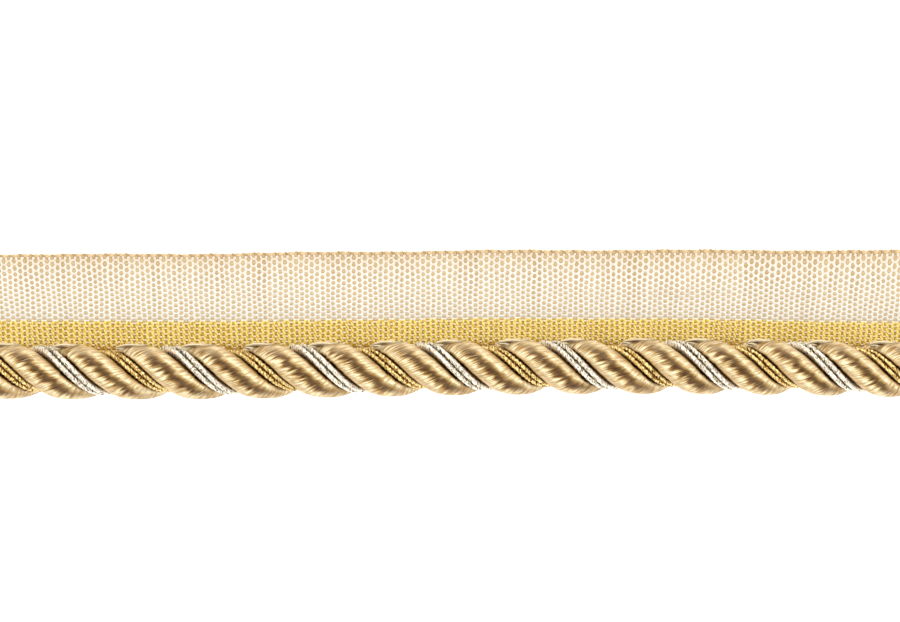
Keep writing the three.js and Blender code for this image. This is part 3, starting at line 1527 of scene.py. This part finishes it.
        def place(row: Array, ring: Array, turn: Array, share: Array) -> Placing:
            """Places each weft over and under the warps in turn."""
            k = row.astype(int)
            along, bend, _, reach = hairpin.follow(ring / self.weft_rings)
            number = 2 * (k + first) + 0.5 - 0.5 * np.cos(bend)
            line = weave.line_at(reach)
            sway = rounded(np.cos(math.pi * (line + np.round(number))), self.weft_fullness)
            sway = sway * np.cos(bend) ** 2
            angle = TAU * turn
            slim = 1 - self.turn_slim * np.sin(bend)
            wide = (self.weft_half - self.weft_pinch * sway) * slim * share * np.cos(angle)
            x = weave.column_x(number, reach) + stray[k] + wide * np.cos(bend)
            # Painted light: wefts lighter near the rope, where its shadow falls, and darker
            # towards the free edge.
            shade = tones[k] + self.weft_painted_light * self.nearness(reach)
            reach = weave.sagged(x, reach) - wide * np.sin(bend)
            height = weave.middle - self.weft_swing * sway
            height = height + self.weft_thick * share * np.sin(angle)
            # Painted shade on the wefts under the binding.
            numbers = {"shade": shade, "band_shade_and_cream": self.covered(line, self.weft_margin)}
            return lay.on_tape(x, reach, height), run_of(along, turn), numbers

        tubes = in_rows(straight_tube(self.weft_rings, self.weft_sides), count)
        return dress(placed(name, tubes, place), Slot.TAPE, ["tape"], finish, finish)


@dataclass(frozen=True)
class EdgeYarns:
    """Two yarns twisted round each other along the selvedge, a turn to two columns."""

    reach: float = 19.80
    half: float = 0.23
    flat: float = 0.8
    lag: float = 0.22
    swing: float = 0.15
    rise: float = 0.10
    heave: float = 0.17
    shade: float = 0.4
    shade_depth: float = 0.6
    shade_lag: float = 0.6
    steps: int = 5
    sides: int = 8

    def build(self, lay: Lay, weave: Weave, finish: Material) -> Object:
        """Builds both yarns as one piece.

        Args:
            lay: how the trimming lies.
            weave: the tape's weave.
            finish: their material.

        Returns:
            The object.
        """
        rings = weave.columns * self.steps

        def place(row: Array, ring: Array, turn: Array, share: Array) -> Placing:
            """Places the two yarns half a turn apart."""
            x = lay.along(ring / rings)
            level = np.full_like(x, self.reach)
            pair = weave.column_at(x, level) / 2 + self.lag
            swing = TAU * pair + math.pi * row
            angle = TAU * turn
            reach = level + self.swing * np.sin(swing) + self.half * share * np.cos(angle)
            height = weave.middle + self.rise + self.heave * np.cos(swing)
            height = height + self.flat * self.half * share * np.sin(angle)
            dark = np.cos(swing + self.shade_lag) * np.cos(math.pi * row)
            shade = self.shade - self.shade_depth * dark
            return lay.on_tape(x, reach, height), run_of(x, turn), {"shade": shade}

        piece = placed("tape_edge_yarns", in_rows(straight_tube(rings, self.sides), 2), place)
        return dress(piece, Slot.TAPE, ["tape"], finish, finish)


@dataclass(frozen=True)
class Binding:
    """Hairpins of yellow two-ply yarn that lie between the columns of the tape."""

    reach: float = 8.66
    half: float = 0.31
    arch: float = 0.6
    height: float = 0.70
    turn_stretch: float = 1.3
    turn_sunk: float = 0.38
    tail: float = 2.4
    tail_drop: float = 0.46
    tail_flat: float = 0.5
    tail_spread: float = 0.55
    ply_length: float = 0.95
    ply_depth: float = 0.36
    wave: float = 0.03
    tones: Span = (0.75, 1.05)
    # Painted shade in the plies' creases, and under the rope from this reach in.
    groove_shade: float = 1.4
    rope_shade_from: float = 4.7
    fade: float = 0.8
    rings: int = 84
    sides: int = 8
    seed: int = 21

    def build(self, lay: Lay, weave: Weave, finish: Material) -> Object:
        """Builds all the hairpins as one piece.

        Args:
            lay: how the trimming lies.
            weave: the tape's weave, whose gaps they lie in.
            finish: their material.

        Returns:
            The object.
        """
        inner = lay.inner_reach - self.tail
        turn_length = self.turn_stretch * (self.arch + weave.column / 2)
        turn_reach = self.reach - self.half - self.arch
        hairpin = Hairpin(inner, turn_reach, turn_length, self.arch)
        count = weave.columns // 2 - 1
        draw = random.Random(self.seed)
        tones = draws(draw, self.tones, count)
        phases = draws(draw, (0, TAU), count)

        def place(row: Array, ring: Array, turn: Array, share: Array) -> Placing:
            """Places each hairpin, with its tails lower and flatter under the rope, and painted
            shade there and in the creases between its plies.
            """
            k = row.astype(int)
            along, bend, back, reach = hairpin.follow(ring / self.rings)
            gap = 2 * k + 1 - 0.5 * np.cos(bend)
            side = np.where(back, -1.0, 1.0)
            sway = self.wave * side * np.cos(math.pi * weave.line_at(reach))
            sway = sway * (1 - np.sin(bend))
            angle = TAU * turn
            swirl = angle + phases[k] - math.pi * along / self.ply_length
            groove = 1 - np.abs(np.cos(swirl))
            size = self.half * share * (1 - self.ply_depth * groove)
            tail = eased((lay.inner_reach - reach) / self.fade)
            wide = (1 + self.tail_spread * tail) * size * np.cos(angle)
            x = weave.column_x(gap, reach) + sway + wide * np.cos(bend)
            height = self.height - self.turn_sunk * np.sin(bend) - self.tail_drop * tail
            height = height + (1 - self.tail_flat * tail) * size * np.sin(angle)
            reach = weave.sagged(x, reach) - wide * np.sin(bend)
            # Painted shade under the rope and in the creases between the plies.
            rope_shade = np.clip((self.rope_shade_from - reach) / self.fade, 0, 1)
            shade = tones[k] - rope_shade - self.groove_shade * groove
            return lay.on_tape(x, reach, height), run_of(along, turn), {"shade": shade}

        tubes = in_rows(straight_tube(self.rings, self.sides), count)
        piece = placed("binding_yarns", tubes, place)
        return dress(piece, Slot.BINDING, ["binding"], finish, finish)


# Studio


@dataclass(frozen=True)
class Softbox:
    """One soft light that faces the cord. Its sizes are in metres, its power in watts."""

    name: str
    place: tuple[float, float, float]
    size: tuple[float, float]
    power: float

    def build(self) -> None:
        """Builds the light."""
        data = bpy.data.lights.new(self.name, "AREA")
        data.shape = "RECTANGLE"
        data.size, data.size_y = self.size
        data.energy = self.power
        light = new_object(self.name, data)
        light.location = self.place
        light.rotation_euler = Vector(self.place).to_track_quat("Z", "Y").to_euler()


@dataclass(frozen=True)
class Studio:
    """A pale floor, soft light from all sides and a camera straight above.

    The floor's side and how far the camera sees are in metres, the scale is in pixels
    for each millimetre, and the axis row is where the rope lies in the picture.
    """

    picture: tuple[int, int] = (900, 622)
    scale: float = 5.84
    axis_row: float = 366.6
    lens: float = 100.0
    sensor: float = 36.0
    sees_to: float = 20.0
    floor_side: float = 2.4
    floor_grey: float = 0.93
    floor_roughness: float = 0.9
    floor_glow: float = 0.6
    softboxes: tuple[Softbox, ...] = (
        Softbox("back softbox", (-0.05, 0.58, 0.56), (0.9, 0.4), 4.8),
        Softbox("front softbox", (0.05, -0.60, 0.50), (0.9, 0.35), 2.8),
        Softbox("left softbox", (-0.72, -0.05, 0.50), (0.35, 0.9), 3.1),
        Softbox("right softbox", (0.72, 0.05, 0.50), (0.35, 0.9), 3.1),
    )
    surroundings: float = 0.28

    def build_camera(self, lay: Lay) -> None:
        """Builds the camera so that the rope lies on its own row of the picture.

        Args:
            lay: how the trimming lies.
        """
        wide, high = self.picture
        data = bpy.data.cameras.new("camera")
        data.lens = self.lens
        data.sensor_width = self.sensor
        data.clip_end = self.sees_to
        camera = new_object("camera", data)
        distance = wide / self.scale * self.lens / self.sensor
        y = (self.axis_row - high / 2) / self.scale - lay.centre_y
        camera.location = Vector((0.0, y, lay.axis_height + distance)) * MM
        bpy.context.scene.camera = camera

    def build_floor(self) -> None:
        """Builds the pale floor."""
        bm = bmesh.new()
        bmesh.ops.create_grid(bm, x_segments=1, y_segments=1, size=self.floor_side / 2)
        mesh = bpy.data.meshes.new("floor")
        bm.to_mesh(mesh)
        bm.free()
        floor = new_object("floor", mesh)
        material, _, shader = new_material("Pale floor")
        grey = self.floor_grey
        set_inputs(
            shader,
            Base_Color=(grey, grey, grey, 1),
            Roughness=self.floor_roughness,
            Emission_Color=(1, 1, 1, 1),
            Emission_Strength=self.floor_glow,
        )
        mesh.materials.append(material)

    def build(self, lay: Lay) -> None:
        """Builds the whole studio.

        Args:
            lay: how the trimming lies.
        """
        self.build_camera(lay)
        self.build_floor()
        for softbox in self.softboxes:
            softbox.build()
        world = bpy.data.worlds.new("studio")
        world.use_nodes = True
        background = world.node_tree.nodes["Background"]
        set_inputs(background, Color=(1, 1, 1, 1), Strength=self.surroundings)
        bpy.context.scene.world = world
        bpy.context.scene.view_settings.view_transform = "Standard"


# The whole trimming


def build_rope(lay: Lay) -> None:
    """Builds the metallic pairs, the satin strands and their loose floss.

    Args:
        lay: how the trimming lies.
    """
    silver = MetalPair(
        "silver", Slot.SILVER, 1.2, 3.98, math.radians(3), 3, 2.6, 0.16, slim=0.15, bulge=0.65
    )
    gold = MetalPair("gold", Slot.GOLD, 1.0, 3.5, math.radians(185), 2, 1.5, 0.30, sides=12)
    pairs = (silver, gold)
    # Each foil's painted glint, own tone and painted shade.
    silver_tones = (tone(255, 250, 236), tone(222, 208, 182), tone(88, 70, 46))
    gold_tones = (tone(255, 232, 160), tone(206, 160, 82), tone(66, 34, 8))
    silver.build(lay, FoilFinish("Silver foil", *silver_tones).material())
    gold.build(lay, FoilFinish("Gold foil", *gold_tones, roughness=0.3).material())

    floss = SatinFinish().material()
    cut = CutFinish("Cut floss", tone(236, 212, 170), tone(140, 104, 60)).material()
    strands = (
        SatinStrand("satin_strand_a", "satin_a", math.radians(94), sheen_shift=-0.5),
        SatinStrand("satin_strand_b", "satin_b", math.radians(-89), sheen_shift=-0.1),
    )
    for strand in strands:
        strand.build(lay, pairs, floss, cut)
    loose = YarnFinish(
        "Loose filament", tone(250, 232, 192), tone(214, 182, 128), roughness=0.5
    )
    StrayFilaments().build(lay, strands, loose.material())
    rolled = YarnFinish(
        "Rolled floss",
        tone(250, 230, 188),
        # The deep tone carries the rolls' painted shade.
        tone(88, 54, 14),
        roughness=0.6,
        along=0.3,
        across=6.0,
        relief=0.08,
        specular=0.2,
    )
    Curls().build(lay, pairs, rolled.material())


def build_flange(lay: Lay) -> None:
    """Args:
        lay: how the trimming lies.
    """
    # The warps' second tone: painted reflection of the gold under the binding, and their own
    # cream near the free edge.
    white = BandedFinish(
        "White warp", tone(251, 251, 247), tone(232, 218, 200), band_shade_and_cream=tone(252, 232, 204)
    )
    beige = BandedFinish("Beige weft", tone(219, 197, 159), tone(192, 164, 118))
    # The filling's second tone is painted shade under the binding.
    cream = BandedFinish(
        "Cream filling", tone(252, 248, 240), tone(244, 234, 216), band_shade_and_cream=tone(150, 112, 48)
    )
    edge = YarnFinish("Beige edge", tone(226, 200, 156), tone(150, 112, 66))
    yellow = YarnFinish(
        "Yellow binding",
        tone(255, 232, 132),
        # The deep tone carries the binding's painted shade.
        tone(196, 142, 32),
        roughness=0.45,
        along=1.8,
        across=1.0,
        relief=0.06,
        specular=0.4,
    )
    tape = Tape()
    weave = tape.weave
    ground = tape.build_ground(lay, cream.material())
    warp = white.material()
    weft = beige.material()
    band = tape.band_warps
    pairs_left = weave.columns // 4
    pairs_right = weave.columns // 2 - pairs_left
    with_ground = [
        tape.build_warps(lay, "tape_warps_band", 1, band, warp),
        tape.build_warps(lay, "tape_warps_outer", band + 1, weave.warps - band, warp),
        tape.build_wefts(lay, "tape_wefts_left", 0, pairs_left, weft),
        tape.build_wefts(lay, "tape_wefts_right", pairs_left, pairs_right, weft),
        EdgeYarns().build(lay, weave, edge.material()),
        Binding().build(lay, weave, yellow.material()),
    ]


def main() -> None:
    """Builds the studio, the rope and the flange, and reports each piece."""
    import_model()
    lay = lay_in_frame()
    Studio().build(lay)
    LOG.info("studio built")
    build_rope(lay)
    build_flange(lay)


if __name__ == "__main__":
    logging.basicConfig(level=logging.INFO)
    main()
